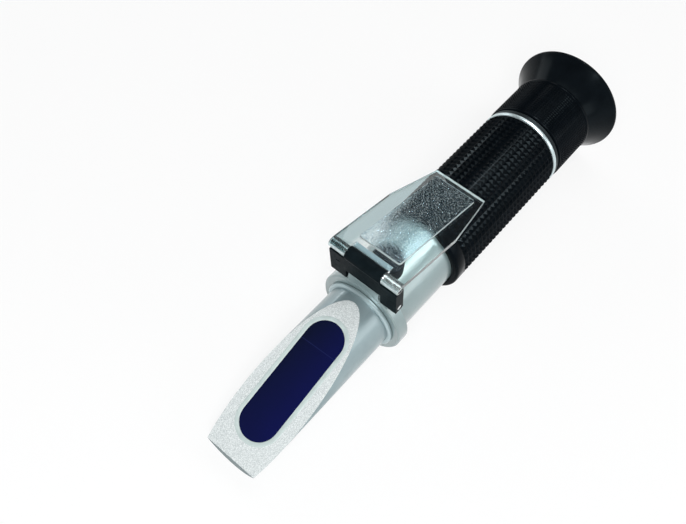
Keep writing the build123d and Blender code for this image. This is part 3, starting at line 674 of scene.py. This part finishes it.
def window_ring(name, profile, steps=48):
    """Ring round the prism's window from a closed profile of (distance outside the glass, rise)."""
    along = Vector((cos(FACE_ANGLE), 0.0, sin(FACE_ANGLE)))
    up = Vector((-sin(FACE_ANGLE), 0.0, cos(FACE_ANGLE)))
    front_height = HEAD_RADIUS - FACE_TOP * tan(FACE_ANGLE)
    middle = point(0.0, 0.0, front_height) + along * WINDOW_MIDDLE * MM
    reach = WINDOW_LENGTH / 2 - WINDOW_HALF_WIDTH
    verts = []
    for end in (1, -1):
        for step in range(steps + 1):
            angle = -pi / 2 + pi * step / steps
            for grow, rise in profile:
                radius = WINDOW_HALF_WIDTH + grow
                forward = end * (reach + radius * cos(angle))
                place = middle + along * forward * MM + up * rise * MM
                place.y = end * radius * sin(angle) * MM
                verts.append(place)
    count = len(profile)
    rings = 2 * (steps + 1)
    faces = []
    for ring in range(rings):
        here, there = ring * count, (ring + 1) % rings * count
        for index in range(count):
            after = (index + 1) % count
            faces.append((here + index, here + after, there + after, there + index))
    mesh = bpy.data.meshes.new(name)
    mesh.from_pydata(verts, [], faces)
    tidy(mesh)
    return mesh


def dressed(name, node, body, slot, bevel, *made, choose=None):
    """Copy of a CAD node with clean faces and small rounded edges, which stands for the node.

    choose gives the number of a face's finish from its middle and its normal.
    """
    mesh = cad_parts[node].data.copy()
    mesh.name = name
    mesh.materials.clear()
    work = bmesh.new()
    work.from_mesh(mesh)
    bmesh.ops.remove_doubles(work, verts=work.verts, dist=MERGE_DISTANCE * MM)
    flat = radians(FLAT_ANGLE)
    bmesh.ops.dissolve_limit(work, angle_limit=flat, verts=work.verts, edges=work.edges)
    if choose:
        for face in work.faces:
            face.material_index = choose(face.calc_center_median(), face.normal)
    work.to_mesh(mesh)
    work.free()
    if mesh.has_custom_normals:
        mesh.attributes.remove(mesh.attributes["custom_normal"])
    item = new_piece(name, mesh, body, slot, *made)
    shade(mesh)
    soften = item.modifiers.new("edges", "BEVEL")
    soften.width = bevel * MM
    soften.segments = 2
    soften.limit_method = "ANGLE"
    soften.angle_limit = radians(SHARP_ANGLE)
    soften.harden_normals = True
    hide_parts(node)
    return item


def recess(item, middle, size, lean):
    """Cuts a small box-shaped recess into a piece before its edges are rounded."""
    mesh = bpy.data.meshes.new("cutter")
    work = bmesh.new()
    turn = Matrix.Rotation(lean, 4, "Y")
    place = Matrix.Translation(middle) @ turn @ Matrix.Diagonal((*size, 1.0))
    bmesh.ops.create_cube(work, matrix=place)
    work.to_mesh(mesh)
    work.free()
    cutter = bpy.data.objects.new("cutter", mesh)
    scene.collection.objects.link(cutter)
    cut = item.modifiers.new("recess", "BOOLEAN")
    cut.operation = "DIFFERENCE"
    cut.object = cutter
    item.modifiers.move(item.modifiers.find("recess"), 0)
    with bpy.context.temp_override(object=item, active_object=item):
        bpy.ops.object.modifier_apply(modifier="recess")
    bpy.data.objects.remove(cutter)
    bpy.data.meshes.remove(mesh)


# Grip: a rounded smooth cuff, then rows of pyramids
cuff_rear = GRIP_FRONT + CUFF_LENGTH
cuff = rounded(
    [
        (GRIP_FRONT, GRIP_BORE, 0),
        (GRIP_FRONT, GRIP_RADIUS, CUFF_ROUNDING),
        (cuff_rear - 0.15, GRIP_RADIUS, 0),
    ],
    steps=8,
)
lead = [(p[0], p[1]) for p in cuff[1:]] + [(cuff_rear, GRIP_RADIUS - 0.1)]
tail = [(GRIP_KNURL_REAR, GRIP_REAR_RADIUS + 0.15), (GRIP_REAR, GRIP_REAR_RADIUS)]
mesh = knurled(
    "grip", lead, GRIP_ROWS, GRIP_KNURL_FRONT, GRIP_PITCH, GRIP_COLUMNS,
    GRIP_GROOVE_RADIUS, GRIP_RADIUS, tail, GRIP_BORE, groove=0.10, top=0.12,
)
grip = new_piece("grip_knurl", mesh, "body", "grip_rubber", rubber)
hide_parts("grip_sleeve")

# Bright ring with rounded edges
mesh = turned(
    "trim",
    rounded(
        [
            (GRIP_REAR, TRIM_BORE, 0),
            (GRIP_REAR, GRIP_RADIUS, 0.35),
            (TRIM_REAR, GRIP_RADIUS, 0.35),
            (TRIM_REAR, TRIM_BORE, 0),
        ]
    ),
)
shade(mesh)
trim = new_piece("trim_band", mesh, "body", "bright_aluminium", bright)
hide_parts("trim_ring")

# Focusing ring: fine knurl between two smooth bands
lead = [
    (FOCUS_FRONT, FOCUS_FRONT_RADIUS - 0.3),
    (FOCUS_FRONT + 0.1, FOCUS_FRONT_RADIUS - 0.1),
    (FOCUS_FRONT + 0.3, FOCUS_FRONT_RADIUS),
]
tail = [
    (FOCUS_KNURL_REAR, FOCUS_RADIUS - 0.02),
    (EYECUP_FRONT - 0.8, FOCUS_RADIUS),
    (EYECUP_FRONT - 0.25, FOCUS_RADIUS),
    (EYECUP_FRONT - 0.07, FOCUS_RADIUS - 0.07),
    (EYECUP_FRONT, FOCUS_RADIUS - 0.22),
]
mesh = knurled(
    "focus", lead, FOCUS_ROWS, FOCUS_KNURL_FRONT, FOCUS_PITCH, FOCUS_COLUMNS,
    FOCUS_GROOVE_RADIUS, FOCUS_KNURL_RADIUS, tail, FOCUS_BORE, groove=0.25, top=0.32,
)
focus = new_piece("focus_knurl", mesh, "focus_ring", "focus_plastic", focus_plastic)
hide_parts("focusing_ring")

# Eyecup: a slightly hollow flare with a thin lip and a rounded mouth
flare = []
start = Vector((EYECUP_FRONT + 0.02, FOCUS_RADIUS - 0.15))
end = Vector((OVERALL - LIP_WIDTH, RIM_RADIUS))
for step in range(FLARE_STEPS):
    t = step / FLARE_STEPS
    here = start.lerp(end, t)
    flare.append((here.x, here.y - 4 * FLARE_SAG * t * (1 - t), 0))
mesh = turned(
    "eyecup",
    rounded(
        [
            (WEB_REAR + 1.5, EYECUP_BORE, 0.4),
            (WEB_REAR, EYECUP_BORE, 0),
            (WEB_REAR, NECK_RADIUS, 0),
            (EYECUP_FRONT, NECK_RADIUS, 0),
            (EYECUP_FRONT, FOCUS_RADIUS - 0.3, 0),
        ]
        + flare
        + [
            (OVERALL - LIP_WIDTH, RIM_RADIUS, 0.25),
            (OVERALL, RIM_RADIUS, 0.25),
            (OVERALL, RIM_RADIUS - 1.5, 0.5),
        ]
    ),
    segments=192,
)
shade(mesh, angle=40)
eyecup = new_piece("eyecup_shell", mesh, "focus_ring", "eyecup_plastic", gloss_plastic)
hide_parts("eyecup")

# Head, seal, collar, link and lid with softened edges
dressed("head_block", "prism_housing", "body", "satin_metal", 0.12, head)
mesh = window_ring("seal", BEAD_PROFILE)
shade(mesh, angle=60)
seal_bead = new_piece("seal_strip", mesh, "body", "seal_bead", bead)
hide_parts("prism_seal")
dressed("collar_lug", "hinge_collar", "body", "satin_aluminium", 0.12, satin)
link = dressed("link_block", "hinge_link", "link", "hinge_plastic", 0.18, link_plastic)
recess(link, Vector(LINK_RECESS_PLACE) * MM, Vector(LINK_RECESS_SIZE) * MM, LINK_LEAN)

# The lid's own directions, through its thickness and towards its far end, and its hinge
lid_up = Vector((sin(LID_TILT), 0.0, cos(LID_TILT)))
lid_back = Vector((cos(LID_TILT), 0.0, -sin(LID_TILT)))
lid_pivot = point(LID_PIVOT_STATION, 0.0, LID_PIVOT_HEIGHT)


def lid_finish(middle, normal):
    """0 for clear plastic, 1 for the pad's top, 2 for the sloped near edge, 3 for upright edges
    with a painted highlight.
    """
    rise = (middle - lid_pivot).dot(lid_up) / MM
    back = (middle - lid_pivot).dot(lid_back) / MM
    if rise > LID_TOP + 0.1 and normal.dot(lid_up) > 0.9:
        return 1
    if LID_NEAR_SLOPE[0] < back < LID_NEAR_SLOPE[1] and 0.5 < normal.dot(lid_up) < 0.9:
        return 2
    if back > LID_NEAR_SLOPE[1] and abs(normal.dot(lid_up)) < 0.3:
        return 3
    front = normal.dot(lid_back) < -0.5 and normal.dot(lid_up) < 0.3
    if back < 0 and (front or normal.y < -0.9):
        return 3
    return 0


lid = dressed(
    "lid_plate", "daylight_lid", "lid", "clear_acrylic", 0.15,
    acrylic, frosted, moulded, edge_highlight_plastic, choose=lid_finish,
)
# Clear plastic lets the lamps through
lid.visible_shadow = False


# Floor: white where the camera sees it, also in reflections and through the lid
slope = COLLAR_BOTTOM / (RIM_CONTACT_X - COLLAR_CONTACT_X)
floor_mesh = bpy.data.meshes.new("floor")
corners = []
for x, y in ((-1, -1), (1, -1), (1, 1), (-1, 1)):
    height = (RIM_CONTACT_X * MM - x * FLOOR_REACH) * slope - FLOOR_GAP * MM
    corners.append((x * FLOOR_REACH, y * FLOOR_REACH, height))
floor_mesh.from_pydata(corners, [], [(0, 1, 2, 3)])
floor = bpy.data.objects.new("floor", floor_mesh)
scene.collection.objects.link(floor)
material = bpy.data.materials.new("floor")
material.use_nodes = True
tree = material.node_tree
matte = tree.nodes["Principled BSDF"]
matte.inputs["Base Color"].default_value = FLOOR_COLOUR
matte.inputs["Roughness"].default_value = 0.9
glow = tree.nodes.new("ShaderNodeEmission")
glow.inputs["Color"].default_value = (1.0, 1.0, 1.0, 1.0)
path = tree.nodes.new("ShaderNodeLightPath")
seen = None
for name in ("Is Camera Ray", "Is Glossy Ray", "Is Transmission Ray"):
    if seen is None:
        seen = path.outputs[name]
        continue
    either = tree.nodes.new("ShaderNodeMath")
    either.operation = "MAXIMUM"
    tree.links.new(seen, either.inputs[0])
    tree.links.new(path.outputs[name], either.inputs[1])
    seen = either.outputs[0]
share = tree.nodes.new("ShaderNodeMath")
share.operation = "MULTIPLY"
share.inputs[1].default_value = FLOOR_GLOW_SHARE
tree.links.new(seen, share.inputs[0])
blend = tree.nodes.new("ShaderNodeMixShader")
tree.links.new(share.outputs[0], blend.inputs[0])
tree.links.new(matte.outputs[0], blend.inputs[1])
tree.links.new(glow.outputs[0], blend.inputs[2])
tree.links.new(blend.outputs[0], tree.nodes["Material Output"].inputs[0])
floor_mesh.materials.append(material)
